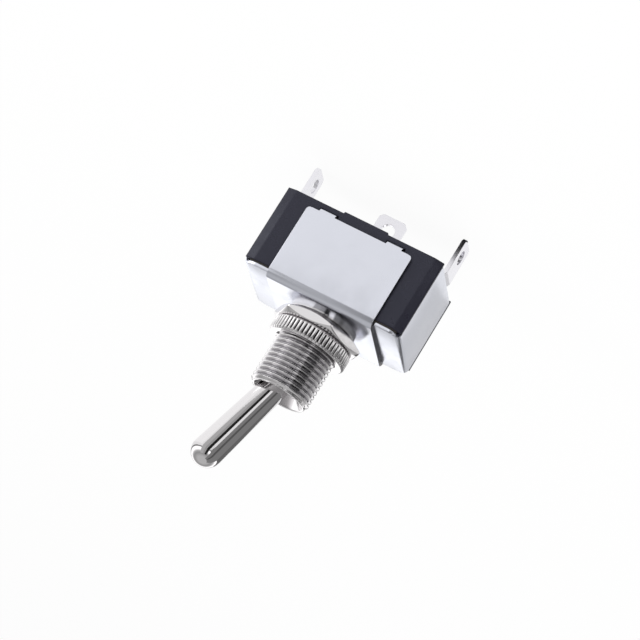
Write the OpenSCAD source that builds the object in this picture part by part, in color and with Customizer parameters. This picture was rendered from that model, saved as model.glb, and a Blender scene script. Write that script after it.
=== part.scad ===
// Panel toggle switch: single pole, double throw, bat lever, threaded bushing with two nuts,
// moulded base in a folded steel cage, three blade terminals.
// The origin is the lever's pivot, on the bushing axis. +Z runs along the bushing towards the
// lever, X runs along the case, and the lever rests thrown towards +X. The case, the bushing
// and the contacts are drawn from the outer face of the bracket, and cased() lowers them.

/* [Case] */
// Length of the moulded base along X
base_length = 32.7; // [30:0.1:36]
// Depth of the moulded base along Y
base_depth = 18.9; // [17.5:0.1:21]
// Height of the moulded base, without the land under it
base_height = 15.5; // [14.8:0.1:18]
// Thickness of the base's walls
base_wall = 2.0; // [1.8:0.1:2.4]
// Thickness of the base's floor
base_floor = 2.2; // [1.8:0.1:2.6]
// Length along X of the facet at each upright corner of the base
facet_run = 1.8; // [1.2:0.1:2.4]
// Depth along Y of that facet
facet_fall = 0.55; // [0.3:0.05:0.8]
// Width of the raised land under the base
land_width = 9.0; // [8:0.1:9.6]
// Height of the raised land under the base
land_height = 0.35; // [0.25:0.05:0.8]
// Thickness of the insulating gasket over the base
gasket_thickness = 0.3; // [0.2:0.05:0.5]

/* [Bracket] */
// Width of the bracket along X
bracket_width = 22.0; // [20:0.1:24]
// Sheet thickness of the bracket
bracket_thickness = 0.8; // [0.6:0.05:1]
// Height of the base's rim that is left under the tabs
rim_height = 1.1; // [0.8:0.1:1.6]
// Outer radius of the bracket's bends
bracket_bend = 1.6; // [1.2:0.1:2]
// Radius of the flanges' free corners
bracket_corner = 0.8; // [0.4:0.1:1.2]
// Width of each crimped tab
tab_width = 3.3; // [2.6:0.1:3.8]
// Distance between the two tabs of a flange
tab_spacing = 14.0; // [13.4:0.1:15]
// Reach of a tab under the base, from the flange's outer face
tab_reach = 2.3; // [1.9:0.1:2.5]

/* [End strap] */
// Sheet thickness of the end strap
strap_thickness = 0.7; // [0.5:0.05:0.9]
// Distance of the strap's edges inside the base's sides
strap_inset = 0.15; // [0.05:0.05:0.4]
// Radius of the strap's round corners, seen from above
strap_round = 4.0; // [3:0.1:6]
// Distance of an end plate's edges inside the strap's edges, to clear the base's corner posts
plate_inset = 1.0; // [0.8:0.1:1.4]
// Distance of an end plate's free edge above the bottom of the base
plate_lift = 0.4; // [0.1:0.1:2]
// Outer radius of the strap's bends
strap_bend = 1.0; // [0.9:0.1:1.5]

/* [Bushing and nuts] */
// Thread diameter over the crests
thread_diameter = 11.9; // [11.7:0.05:12.1]
// Distance between two crests of the thread
thread_pitch = 1.0; // [0.9:0.05:1.5]
// Depth of the thread
thread_depth = 0.5; // [0.3:0.05:0.6]
// Height of the bushing's mouth above the bracket
bushing_height = 16.35; // [15.6:0.05:17]
// Inner diameter at the mouth
mouth_diameter = 10.0; // [9.6:0.1:10.4]
// Height of the shoulder on the bracket
shoulder_height = 0.8; // [0.6:0.1:1]
// Thickness of the hexagonal nut's wall, from its bore to a flat
nut_wall = 2.0; // [1.5:0.1:2.5]
// Thickness of the hexagonal nut
nut_thickness = 1.9; // [1.5:0.1:2.1]
// Height of the hexagonal nut's lower face above the bracket
nut_height = 1.5; // [1.5:0.1:1.9]
// Thickness of the knurled ring nut's wall, from its bore to the knurl's crests
ring_wall = 1.85; // [1.5:0.05:2.5]
// Thickness of the knurled ring nut
ring_thickness = 3.05; // [2.5:0.05:3.4]
// Number of grooves in the knurl
knurl_count = 60; // [48:1:72]
// Depth of the knurl
knurl_depth = 0.32; // [0.2:0.02:0.4]

/* [Lever] */
// Height of the pivot above the bracket
pivot_height = 10.4; // [10.2:0.05:10.6]
// Throw of the lever to each side of the bushing axis, in degrees
throw = 15.1; // [12:0.1:15.5]
// Distance from the pivot to the centre of the lever's round tip
lever_reach = 21.9; // [18:0.1:26]
// Diameter of the lever's tip
lever_tip = 6.15; // [5.6:0.05:6.8]
// Diameter of the lever where it leaves the bushing
lever_waist = 5.3; // [4.8:0.05:5.4]
// Diameter of the pivot ball
ball_diameter = 8.4; // [8.3:0.02:8.44]
// Diameter of the pivot pin
pin_diameter = 2.0; // [1.6:0.1:2.2]
// Diameter of the lever's tail
tail_diameter = 2.8; // [2.4:0.1:2.9]
// Outer diameter of the plunger barrel at the end of the tail
barrel_diameter = 4.6; // [4.4:0.1:4.8]
// Diameter of the plunger
plunger_diameter = 3.2; // [2.8:0.1:3.3]
// Thickness of the plunger spring's wire
spring_wire = 0.35; // [0.3:0.05:0.4]

/* [Contacts] */
// Tilt of the rocker to each side of level, in degrees
rocker_tilt = 7.0; // [5:0.5:7.5]
// Thickness of the rocker
rocker_thickness = 0.8; // [0.6:0.05:0.9]
// Width of the rocker along Y
rocker_width = 5.4; // [4.6:0.1:5.6]
// Distance of the contacts from the bushing axis
contact_spread = 9.0; // [8.8:0.1:9.4]
// Diameter of the fixed contacts
contact_diameter = 3.6; // [3.2:0.1:4]
// Thickness of the cradle
cradle_thickness = 0.7; // [0.6:0.05:0.8]
// Width between the cradle's ears
cradle_gap = 6.0; // [5.8:0.1:6.6]
// Diameter of the rocker pin
rocker_pin = 1.2; // [1:0.1:1.3]
// Diameter of the rivets' shanks
rivet_shank = 2.2; // [1.8:0.1:2.6]

/* [Terminals] */
// Width of a terminal blade
blade_width = 5.8; // [4.8:0.1:6.4]
// Thickness of a terminal blade
blade_thickness = 0.8; // [0.6:0.05:0.9]
// Distance of an outer blade's middle from the end of the base
blade_inset = 0.75; // [0.6:0.05:2]
// Distance of the middle blade from the bushing axis along Y
middle_blade = 4.85; // [4:0.05:7]
// Length of the blades below the base's floor
blade_length = 8.3; // [6.5:0.1:11]
// Diameter of the hole in a blade
blade_hole = 2.8; // [2:0.1:3.2]
// Distance of the hole from the blade's tip
hole_setback = 2.8; // [2.4:0.1:3.4]
// Cut of the blade tip's corners
blade_chamfer = 0.7; // [0.3:0.1:1.2]

/* [Fits] */
// Radial running clearance of pins and of the plunger
running_gap = 0.05; // [0.03:0.01:0.08]
// Radial clearance of rivets and shanks in their holes
hole_gap = 0.03; // [0.02:0.01:0.06]
// Clearance between parts that only meet
seat_gap = 0.05; // [0.03:0.01:0.1]

/* [Hidden] */
$fn = 96;

// Small amount by which a cutter passes a face
over = 0.5;

// Levels of the stack, from the bracket's outer face down
strap_top = -bracket_thickness;
gasket_top = strap_top - strap_thickness;
base_top = gasket_top - gasket_thickness;
base_bottom = base_top - base_height;
floor_top = base_bottom + base_floor;
land_bottom = base_bottom - land_height;
bracket_flange = -base_bottom - rim_height - bracket_thickness;
strap_drop = strap_top - base_bottom - plate_lift;
cavity_corner = 0.75;
strap_length = base_length;               // its end plates are flush with the corner posts
strap_width = base_depth - 2 * strap_inset;
strap_corner = 0.5;
plate_width = strap_width - 2 * plate_inset;
// length at which the strap's round corners have fallen to the end plates at its bends
strap_plan = strap_length
    + 2 * (strap_round - sqrt(2 * strap_round * plate_inset - pow(plate_inset, 2)));
post_gap = 0.1;                           // between an end plate and the posts beside it
bracket_depth = base_depth + 2 * bracket_thickness;

relief_gap = 0.2;                         // strap's relief beyond the bracket's edges
relief_from = bracket_depth / 2 - bracket_bend;

// Tabs and the notches that they are crimped into
tab_bend = bracket_thickness + 0.1;
tab_bottom = -bracket_flange - bracket_thickness;
notch_clearance = 0.1;
notch_side = 0.3;                         // free width at each side of a tab

// Bushing
thread_r = thread_diameter / 2;
shoulder_step = 0.75;
shoulder_r = thread_r + shoulder_step;
pitch_r = thread_r - 0.2;                 // the thread under the nuts is drawn at this radius
shank_r = pitch_r;
ball_r = ball_diameter / 2;
seat_r = ball_r + running_gap;
lip_r = 3.5;
lip_height = sqrt(pow(seat_r, 2) - pow(lip_r, 2));
foot_wall = 0.5;
flare_r = shank_r - foot_wall;
flare_height = 2;
swage_reach = 0.85;
swage_r = shank_r + swage_reach;
swage_thickness = 0.8;
bushing_foot = gasket_top - swage_thickness;
mouth_chamfer = 0.4;

// Nuts
nut_bore = thread_r + running_gap;
nut_flat_r = nut_bore + nut_wall;
nut_corner_r = nut_flat_r / cos(30);
nut_turn = 3;
ring_foot = nut_height + nut_thickness + seat_gap;
ring_top = ring_foot + ring_thickness;
ring_r = nut_bore + ring_wall;
free_thread = ring_top + 0.02;            // foot of the free stretch of thread
free_length = bushing_height - mouth_chamfer - free_thread;
thread_count = floor(free_length / thread_pitch);
crest = thread_pitch / 5;                 // flat width of a crest
root = thread_pitch / 10;                 // flat width of a root

// Lever and plunger, measured along the lever from the pivot
tip_r = lever_tip / 2;
waist_r = lever_waist / 2;
waist_at = bushing_height - pivot_height;
tail_r = tail_diameter / 2;
barrel_r = barrel_diameter / 2;
plunger_r = plunger_diameter / 2;
barrel_bore = plunger_r + running_gap;
barrel_length = 5.2;
barrel_roof = 0.8;
shank_length = 1.7;
pin_r = pin_diameter / 2;
pin_reach = 4.75;

// Cradle and rocker
rivet_r = rivet_shank / 2;
rivet_head = 0.5;
rivet_peen = 0.6;
rocker_pin_r = rocker_pin / 2;
hinge_wall = 0.45;
hinge_r = rocker_pin_r + running_gap + hinge_wall;
valley_wall = 0.5;
ear_margin = 0.4;
pin_end = 0.2;                            // rocker pin beyond each ear
rivet_clear = 0.25;                       // between the rocker's barrel and the rivet under it
fulcrum = floor_top + cradle_thickness + rivet_head + rivet_clear + hinge_r;
valley = hinge_r + valley_wall;                 // height of the rocker's valley over its pin
plunger_clear = 0.08;                     // between plunger and rocker
nose_reach = pivot_height - fulcrum - valley - plunger_clear - plunger_r;
plunger_reach = nose_reach + plunger_r;
barrel_end = plunger_reach - plunger_r;

// The rocker's trough is an arc that the plunger's nose follows: it passes under the nose with
// the lever upright, and under the nose with the lever thrown and the rocker tilted
nose_low = pivot_height - nose_reach - fulcrum;
nose_x = -nose_reach * sin(throw);
nose_z = pivot_height - nose_reach * cos(throw) - fulcrum;
nose_turned = [nose_x * cos(rocker_tilt) + nose_z * sin(rocker_tilt),
               -nose_x * sin(rocker_tilt) + nose_z * cos(rocker_tilt)];
nose_rise = nose_turned[1] - nose_low;
path_r = (pow(nose_turned[0], 2) + pow(nose_rise, 2)) / (2 * nose_rise);
trough_r = path_r + plunger_r + plunger_clear;
trough_centre = nose_low + path_r;
trough_half = 6.0;
arm_start = 7.5;
arm_margin = 1.5;
arm_end = contact_spread + arm_margin;

// Contacts
button_r = 1.5;
button_height = 0.8;
button_low = 0.1;                         // lowest point of a button over the rocker's pin
button_dome = 4;
fixed_contact_top = fulcrum - contact_spread * sin(rocker_tilt)
    + (button_low + button_dome) * cos(rocker_tilt) - button_dome - seat_gap;
fixed_contact_r = contact_diameter / 2;

// Terminals
blade_tip = base_bottom - blade_length;
blade_spread = base_length / 2 - blade_inset;
blade_bend = blade_thickness + 0.4;
foot_overlap = 2.4;

// ---- helpers -------------------------------------------------------------------------------

// Rectangle with round corners, from plain squares and circles so that its arcs stay true
module round_rectangle(x, y, r) {
    square([x - 2 * r, y], center = true);
    square([x, y - 2 * r], center = true);
    for (i = [-1, 1], j = [-1, 1]) translate([i * (x / 2 - r), j * (y / 2 - r)]) circle(r);
}

// Quarter of a ring in the first quadrant, which is a bend seen from its side
module bend(outer, inner) {
    intersection() {
        difference() { circle(outer); circle(inner); }
        square(outer);
    }
}

// Section of a sheet folded to a U that opens downwards, with its outer face on y = 0
module u_section(width, height, radius, thickness) {
    translate([0, -thickness / 2]) square([width - 2 * radius, thickness], center = true);
    for (i = [0, 1]) mirror([i, 0]) {
        translate([width / 2 - radius, -radius]) bend(radius, radius - thickness);
        translate([width / 2 - thickness, -height]) square([thickness, height - radius]);
    }
}

// What is cut off a corner at the origin, in the first quadrant, to leave radius r
module corner_waste(r) {
    translate([-r, -r]) difference() {
        square(r + over);
        circle(r);
    }
}

// Stands a 2D section up so that its y is +Z and it runs along X, centred
module along_x(length) { rotate([90, 0, 90]) linear_extrude(length, center = true) children(); }

// The same, running along Y
module along_y(length) { rotate([90, 0, 0]) linear_extrude(length, center = true) children(); }

// Lowers children that are drawn from the bracket's outer face
module cased() { translate([0, 0, -pivot_height]) children(); }

// Puts children on the lever's axis, as thrown at rest: their +Z points from pivot to tip
module thrown() { rotate([0, throw, 0]) children(); }

// Turns children about the rocker's pin by its tilt at rest
module tilted() { cased() translate([0, 0, fulcrum]) rotate([0, -rocker_tilt, 0]) children(); }

// Outline of a strip of even thickness along a path of points, with mitred corners
function unit(v) = v / norm(v);
function left_of(v) = [-v[1], v[0]];
function mitre(p, i) =
    let (a = unit(p[max(i, 1)] - p[max(i, 1) - 1]),
         b = unit(p[min(i, len(p) - 2) + 1] - p[min(i, len(p) - 2)]),
         n = unit(left_of(a) + left_of(b)))
    n / (n * left_of(a));
function strip(p, t) = concat(
    [for (i = [0 : len(p) - 1]) p[i] + mitre(p, i) * t / 2],
    [for (i = [len(p) - 1 : -1 : 0]) p[i] - mitre(p, i) * t / 2]);

// ---- case ----------------------------------------------------------------------------------

// Closed pockets low in the base's sides, in which the bracket's tabs are crimped
module tab_pockets() {
    depth = tab_reach - bracket_thickness + notch_clearance;
    height = bracket_thickness + notch_clearance;
    for (i = [-1, 1], j = [-1, 1])
        translate([i * tab_spacing / 2, j * (base_depth / 2 - depth / 2 + over / 2),
                   -bracket_flange - height / 2])
            cube([tab_width + 2 * notch_side, depth + over, height], center = true);
}

// Outline of the base in plan: the corners are faceted, and the ends are recessed between the
// corner posts for the strap's end plates
module base_outline() {
    x = base_length / 2;
    y = base_depth / 2;
    plate = plate_width / 2 + post_gap;
    quarter = [[x - strap_thickness, plate], [x, plate], [x, y - facet_fall], [x - facet_run, y]];
    polygon(concat(
        quarter,
        [for (k = [3 : -1 : 0]) [-quarter[k][0], quarter[k][1]]],
        [for (k = [0 : 3]) [-quarter[k][0], -quarter[k][1]]],
        [for (k = [3 : -1 : 0]) [quarter[k][0], -quarter[k][1]]]));
}

module rivet_holes() {
    for (x = [-contact_spread, 0, contact_spread])
        translate([x, 0, land_bottom - over])
            cylinder(r = rivet_r + hole_gap, h = floor_top - land_bottom + 2 * over);
}

module base() {
    color("#26282d") cased() difference() {
        union() {
            translate([0, 0, base_bottom]) linear_extrude(base_height) base_outline();
            // the land's long edges are bevelled to its full height
            along_y(base_depth) polygon([
                [-land_width / 2 - land_height / 2, base_bottom + over],
                [-land_width / 2 - land_height / 2, base_bottom],
                [-land_width / 2, land_bottom],
                [land_width / 2, land_bottom],
                [land_width / 2 + land_height / 2, base_bottom],
                [land_width / 2 + land_height / 2, base_bottom + over]]);
        }
        translate([0, 0, floor_top]) linear_extrude(base_height)
            round_rectangle(base_length - 2 * (strap_thickness + base_wall),
                            base_depth - 2 * base_wall, cavity_corner);
        tab_pockets();
        rivet_holes();
    }
}

module gasket() {
    color("#3a3530") cased() translate([0, 0, base_top]) linear_extrude(gasket_thickness)
        difference() {
            intersection() {
                round_rectangle(strap_plan, strap_width, strap_round);
                square([strap_length - 2 * strap_bend, strap_width], center = true);
            }
            circle(swage_r + swage_reach / 2);
        }
}

module end_strap() {
    color("#d6d9de") cased() translate([0, 0, strap_top]) difference() {
        intersection() {
            along_y(strap_width) u_section(strap_length, strap_drop, strap_bend, strap_thickness);
            translate([0, 0, -strap_drop - over]) linear_extrude(strap_drop + 2 * over)
                round_rectangle(strap_plan, strap_width, strap_round);
        }
        // the end plates are cut straight, to the width that the strap has at its bends
        for (i = [-1, 1], j = [-1, 1])
            translate([i * (strap_length / 2 - strap_thickness / 2),
                       j * (plate_width / 2 + strap_width / 2), -strap_bend - strap_drop / 2])
                cube([strap_thickness + over / 10, strap_width, strap_drop], center = true);
        // free corners of the end plates
        for (j = [0, 1]) mirror([0, j, 0]) translate([0, plate_width / 2, -strap_drop])
            along_x(strap_length + over) mirror([0, 1]) corner_waste(strap_corner);
        // relief under the bracket's bends
        for (j = [-1, 1]) translate([0, j * (relief_from + strap_width / 2), 0])
            cube([bracket_width + 2 * relief_gap, strap_width, 4 * strap_thickness],
                 center = true);
        cylinder(r = shank_r + hole_gap, h = 4 * strap_thickness, center = true);
    }
}

module bracket_tab() {
    y = bracket_depth / 2;
    along_x(tab_width) {
        translate([y - tab_bend, tab_bottom + tab_bend]) mirror([0, 1])
            bend(tab_bend, tab_bend - bracket_thickness);
        translate([y - tab_reach, tab_bottom])
            square([tab_reach - tab_bend, bracket_thickness]);
    }
}

module bracket() {
    color("#dfe2e8") cased() {
        difference() {
            along_x(bracket_width)
                u_section(bracket_depth, bracket_flange, bracket_bend, bracket_thickness);
            for (i = [0, 1]) mirror([i, 0, 0])
                translate([bracket_width / 2, 0, -bracket_flange])
                    along_y(bracket_depth + over) mirror([0, 1]) corner_waste(bracket_corner);
            cylinder(r = shank_r + hole_gap, h = 4 * bracket_thickness, center = true);
        }
        for (i = [-1, 1], j = [0, 1]) translate([i * tab_spacing / 2, 0, 0])
            mirror([0, j, 0]) bracket_tab();
    }
}

// ---- bushing and nuts ----------------------------------------------------------------------

// Grooves of the thread on its free stretch, as rings of even pitch with a crest at each end
function thread_rings() =
    let (flank = (thread_pitch - crest - root) / 2,
         first = free_thread + (free_length - thread_count * thread_pitch + crest) / 2)
    [for (k = [0 : thread_count - 1],
          c = [[0, 0], [thread_depth, flank], [thread_depth, flank + root],
               [0, 2 * flank + root]])
        [thread_r - c[0], first + k * thread_pitch + c[1]]];

// Outer form of the bushing: the thread shows on its free stretch above the nuts, which takes
// the panel, and is drawn plain at its pitch radius under the nuts
module bushing_blank() {
    rotate_extrude() polygon([
        [0, bushing_foot], [swage_r, bushing_foot], [swage_r, gasket_top],
        [shank_r, gasket_top], [shank_r, 0], [shoulder_r, 0],
        [shoulder_r, shoulder_height], [pitch_r, shoulder_height],
        [pitch_r, free_thread], [thread_r, free_thread],
        each thread_rings(),
        [thread_r, bushing_height - mouth_chamfer],
        [thread_r - mouth_chamfer, bushing_height], [0, bushing_height]]);
}

module bushing() {
    color("#c9ccd0") cased() difference() {
        bushing_blank();
        translate([0, 0, pivot_height]) sphere(seat_r);
        // mouth, dished down to the lip that keeps the ball in
        translate([0, 0, pivot_height + lip_height])
            cylinder(r1 = lip_r, r2 = mouth_diameter / 2,
                     h = bushing_height - pivot_height - lip_height + 0.001);
        translate([0, 0, flare_height]) cylinder(r = seat_r, h = pivot_height - flare_height);
        // the bore flares at its foot for the swinging tail
        translate([0, 0, bushing_foot - over])
            cylinder(r1 = flare_r + over * (flare_r - seat_r) / (flare_height - bushing_foot),
                     r2 = seat_r, h = flare_height - bushing_foot + over + 0.001);
        // two slots in the bore, in which the pivot pin is lifted into place
        translate([0, 0, pivot_height]) rotate([90, 0, 0])
            cylinder(r = pin_r + running_gap, h = 2 * (pin_reach + 2 * running_gap),
                     center = true);
        translate([0, 0, (pivot_height + bushing_foot - over) / 2])
            cube([2 * (pin_r + running_gap), 2 * (pin_reach + 2 * running_gap),
                  pivot_height - bushing_foot + over], center = true);
    }
}

module hex_nut() {
    face_r = nut_flat_r - 0.1;
    reach_r = nut_corner_r + 0.2;
    bevel = (reach_r - face_r) * tan(30);
    color("#c4c8cc") cased() translate([0, 0, nut_height]) difference() {
        intersection() {
            rotate(nut_turn) cylinder(r = nut_corner_r, h = nut_thickness, $fn = 6);
            rotate_extrude() polygon([
                [0, 0], [face_r, 0], [reach_r, bevel], [reach_r, nut_thickness - bevel],
                [face_r, nut_thickness], [0, nut_thickness]]);
        }
        nut_bore_cut(nut_thickness);
    }
}

// Bore of a nut with a lead-in at each face
module nut_bore_cut(thickness) {
    lead = 0.35;
    translate([0, 0, -over]) cylinder(r = nut_bore, h = thickness + 2 * over);
    for (z = [0, 1]) translate([0, 0, z * thickness]) mirror([0, 0, z])
        translate([0, 0, -0.001]) cylinder(r1 = nut_bore + lead, r2 = nut_bore, h = lead);
}

module knurled_nut() {
    step = 360 / knurl_count;
    root = ring_r - knurl_depth;
    bevel = 0.45;
    color("#cfd2d6") cased() translate([0, 0, ring_foot]) difference() {
        intersection() {
            // straight knurl: flat crests with V grooves between them
            linear_extrude(ring_thickness) polygon([
                for (k = [0 : knurl_count - 1], c = [[-0.22, ring_r], [0.22, ring_r], [0.5, root]])
                    c[1] * [cos(step * (k + c[0])), sin(step * (k + c[0]))]]);
            rotate_extrude() polygon([
                [0, 0], [ring_r - bevel, 0], [ring_r + 0.05, bevel],
                [ring_r + 0.05, ring_thickness - bevel], [ring_r - bevel, ring_thickness],
                [0, ring_thickness]]);
        }
        nut_bore_cut(ring_thickness);
    }
}

// ---- lever ---------------------------------------------------------------------------------

module lever() {
    color("#c8cbce") thrown() difference() {
        union() {
            rotate_extrude() polygon([
                [0, 0], [waist_r - 0.2, 0], [waist_r, waist_at], [tip_r, lever_reach],
                [0, lever_reach]]);
            translate([0, 0, lever_reach]) sphere(tip_r);
            sphere(ball_r);
            translate([0, 0, -barrel_end + barrel_length / 2])
                cylinder(r = tail_r, h = barrel_end - barrel_length / 2);
            rotate_extrude() polygon([
                [0, -barrel_end], [barrel_r, -barrel_end],
                [barrel_r, -barrel_end + barrel_length - 0.4],
                [barrel_r - 0.4, -barrel_end + barrel_length],
                [0, -barrel_end + barrel_length]]);
        }
        translate([0, 0, -barrel_end - over])
            cylinder(r = barrel_bore, h = barrel_length - barrel_roof + over);
        rotate([90, 0, 0]) cylinder(r = pin_r, h = 2 * ball_r + 2 * over, center = true);
    }
}

module pivot_pin() {
    color("#b9bcc0") rotate([90, 0, 0]) cylinder(r = pin_r, h = 2 * pin_reach, center = true);
}

module plunger() {
    color("#efece2") thrown() translate([0, 0, -nose_reach]) {
        sphere(plunger_r);
        cylinder(r = plunger_r, h = shank_length);
    }
}

// Coil spring between the plunger and the roof of its barrel: a round wire swept along a helix
module plunger_spring() {
    turns = 4;
    steps = 14;
    sides = 8;
    wire_r = spring_wire / 2;
    coil_r = barrel_bore - wire_r - 0.12;
    low = -nose_reach + shank_length + wire_r + seat_gap;
    high = -barrel_end + barrel_length - barrel_roof - wire_r - seat_gap;
    n = turns * steps;
    function ring(i) = let (a = 360 * i / steps, z = low + (high - low) * i / n)
        [for (k = [0 : sides - 1]) let (b = 360 * k / sides, r = coil_r + wire_r * cos(b))
            [r * cos(a), r * sin(a), z + wire_r * sin(b)]];
    points = [for (i = [0 : n]) each ring(i)];
    faces = concat(
        [[for (k = [0 : sides - 1]) k]],
        [for (i = [0 : n - 1], k = [0 : sides - 1])
            let (a = i * sides + k, b = i * sides + (k + 1) % sides)
            [a, a + sides, b + sides, b]],
        [[for (k = [sides - 1 : -1 : 0]) n * sides + k]]);
    color("#a7abb0") thrown() polyhedron(points, faces);
}

// ---- contact set ---------------------------------------------------------------------------

// Middle line of the rocker from its valley to the end of one arm
function rocker_half() =
    let (r = trough_r + rocker_thickness / 2,
         arm = button_low + button_height + rocker_thickness / 2,
         reach = asin(trough_half / trough_r),
         steps = 10)
    concat([for (k = [1 : steps]) let (a = reach * k / steps)
                [r * sin(a), trough_centre - r * cos(a)]],
           [[arm_start, arm], [arm_end, arm]]);
function mirrored(p) = [for (i = [len(p) - 1 : -1 : 0]) [-p[i][0], p[i][1]]];

module rocker() {
    half = rocker_half();
    valley_line = [0, trough_centre - trough_r - rocker_thickness / 2];
    color("#c58a55") tilted() difference() {
        union() {
            along_y(rocker_width)
                polygon(strip(concat(mirrored(half), [valley_line], half), rocker_thickness));
            along_y(rocker_width) circle(hinge_r);
            along_y(rocker_width) translate([-hinge_r, 0]) square([2 * hinge_r, valley - 0.3]);
        }
        along_y(rocker_width + over) circle(rocker_pin_r + running_gap);
        for (x = [-contact_spread, contact_spread]) translate([x, 0, 0])
            cylinder(r = button_r / 2 + hole_gap, h = 4 * valley);
    }
}

module rocker_pin() {
    color("#b9bcc0") cased() translate([0, 0, fulcrum])
        along_y(cradle_gap + 2 * cradle_thickness + 2 * pin_end) circle(rocker_pin_r);
}

// Domed contact riveted through the rocker's arm
module rocker_contact(side) {
    color("#d9d9d4") tilted() translate([side * contact_spread, 0, button_low]) {
        intersection() {
            translate([0, 0, button_dome]) sphere(button_dome);
            cylinder(r = button_r, h = button_height);
        }
        translate([0, 0, button_height / 2])
            cylinder(r = button_r / 2, h = button_height / 2 + rocker_thickness);
    }
}

module cradle() {
    ear = 2 * (hinge_r + ear_margin);
    height = fulcrum - floor_top;
    color("#c58a55") cased() translate([0, 0, floor_top]) difference() {
        union() {
            translate([0, 0, cradle_thickness / 2])
                cube([ear, cradle_gap + 2 * cradle_thickness, cradle_thickness], center = true);
            for (j = [-1, 1]) translate([0, j * (cradle_gap + cradle_thickness) / 2, height])
                along_y(cradle_thickness) {
                    circle(ear / 2);
                    translate([-ear / 2, -height]) square([ear, height]);
                }
        }
        translate([0, 0, height]) along_y(2 * cradle_gap) circle(rocker_pin_r + hole_gap);
        translate([0, 0, -over]) cylinder(r = rivet_r + hole_gap, h = cradle_thickness + 2 * over);
    }
}

// Rivet: a head of its own height on seat, a shank down to grip, and a peened dome below it
module rivet(seat, grip, head_r, head_height) {
    peen_r = rivet_r + rivet_peen;
    translate([0, 0, seat]) cylinder(r = head_r, h = head_height);
    translate([0, 0, grip - rivet_peen / 2])
        cylinder(r = rivet_r, h = seat - grip + rivet_peen / 2 + head_height / 2);
    translate([0, 0, grip - rivet_peen])
        cylinder(r1 = rivet_r, r2 = peen_r, h = rivet_peen);
}

// The head of an outer rivet is the fixed contact
module contact_rivet(side) {
    color("#d9d9d4") cased() translate([side * contact_spread, 0, 0])
        rivet(floor_top, base_bottom - blade_thickness, fixed_contact_r,
              fixed_contact_top - floor_top);
}

module centre_rivet() {
    color("#c9b98a") cased() rivet(floor_top + cradle_thickness, land_bottom - blade_thickness,
                           hinge_r + ear_margin, rivet_head);
}

// ---- terminals -----------------------------------------------------------------------------

// Angle terminal: its foot lies under top, from the rivet to the bend, and its blade hangs at
// the distance reach from the rivet, down to the common tip level
module terminal(top, reach) {
    outer = reach + blade_thickness / 2;
    tip = blade_tip - top;
    translate([0, 0, top]) difference() {
        along_y(blade_width) {
            translate([-foot_overlap, -blade_thickness])
                square([foot_overlap + outer - blade_bend, blade_thickness]);
            translate([outer - blade_bend, -blade_bend])
                bend(blade_bend, blade_bend - blade_thickness);
            translate([outer - blade_thickness, tip])
                square([blade_thickness, -tip - blade_bend]);
        }
        translate([0, 0, -blade_thickness - over])
            cylinder(r = rivet_r + hole_gap, h = blade_thickness + 2 * over);
        translate([outer - blade_thickness / 2, 0, tip + hole_setback]) rotate([0, 90, 0])
            cylinder(r = blade_hole / 2, h = 2 * blade_thickness, center = true);
        // corners of the tip
        for (j = [0, 1]) mirror([0, j, 0])
            translate([outer - blade_thickness / 2, blade_width / 2, tip]) rotate([45, 0, 0])
                    cube([2 * blade_thickness, blade_chamfer * sqrt(2), blade_chamfer * sqrt(2)],
                     center = true);
    }
}

module terminal_left() {
    color("#d3d4d2") cased() mirror([1, 0, 0]) translate([contact_spread, 0, 0])
        terminal(base_bottom, blade_spread - contact_spread);
}

module terminal_right() {
    color("#d3d4d2") cased() translate([contact_spread, 0, 0])
        terminal(base_bottom, blade_spread - contact_spread);
}

module terminal_centre() {
    color("#d3d4d2") cased() rotate([0, 0, 90]) terminal(land_bottom, middle_blade);
}

// ---- nodes ---------------------------------------------------------------------------------

base();
gasket();
end_strap();
bracket();
bushing();
hex_nut();
knurled_nut();
lever();
pivot_pin();
plunger();
plunger_spring();
rocker();
rocker_pin();
rocker_contact(-1);  // rocker_contact_left
rocker_contact(1);  // rocker_contact_right
cradle();
contact_rivet(-1);  // contact_rivet_left
contact_rivet(1);  // contact_rivet_right
centre_rivet();
terminal_left();
terminal_right();
terminal_centre();
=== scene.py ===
"""Panel toggle switch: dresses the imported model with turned, plated and moulded surfaces.

The frame's origin is the lever's pivot on the bushing's axis. +Z runs along the bushing towards
the lever, X runs along the case, and the lever rests thrown towards +X. Lengths in the code are
metres; MM turns a value written in millimetres into metres.
"""

import math

import bpy
import numpy as np
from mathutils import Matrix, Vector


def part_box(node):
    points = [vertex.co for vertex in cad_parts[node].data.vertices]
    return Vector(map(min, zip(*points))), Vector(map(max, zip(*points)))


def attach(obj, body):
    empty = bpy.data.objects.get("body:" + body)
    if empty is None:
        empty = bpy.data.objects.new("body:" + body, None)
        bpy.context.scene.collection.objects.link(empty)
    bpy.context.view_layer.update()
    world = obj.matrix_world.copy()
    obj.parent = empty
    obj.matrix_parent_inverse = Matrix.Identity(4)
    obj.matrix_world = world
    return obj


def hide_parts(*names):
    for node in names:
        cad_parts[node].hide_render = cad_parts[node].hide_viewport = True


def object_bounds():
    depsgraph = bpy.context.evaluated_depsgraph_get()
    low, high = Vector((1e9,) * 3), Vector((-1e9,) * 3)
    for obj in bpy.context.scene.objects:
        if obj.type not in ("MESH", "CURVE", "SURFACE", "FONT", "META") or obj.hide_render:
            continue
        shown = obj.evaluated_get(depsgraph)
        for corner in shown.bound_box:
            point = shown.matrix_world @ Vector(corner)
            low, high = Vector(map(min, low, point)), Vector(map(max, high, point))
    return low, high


bl_info = {
    "name": "Panel toggle switch",
    "version": (1, 0, 0),
    "blender": (4, 5, 0),
    "location": "View3D > Sidebar > Switch",
    "description": "Turned, plated and moulded surfaces for a panel toggle switch",
    "category": "Add Mesh",
}

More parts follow.
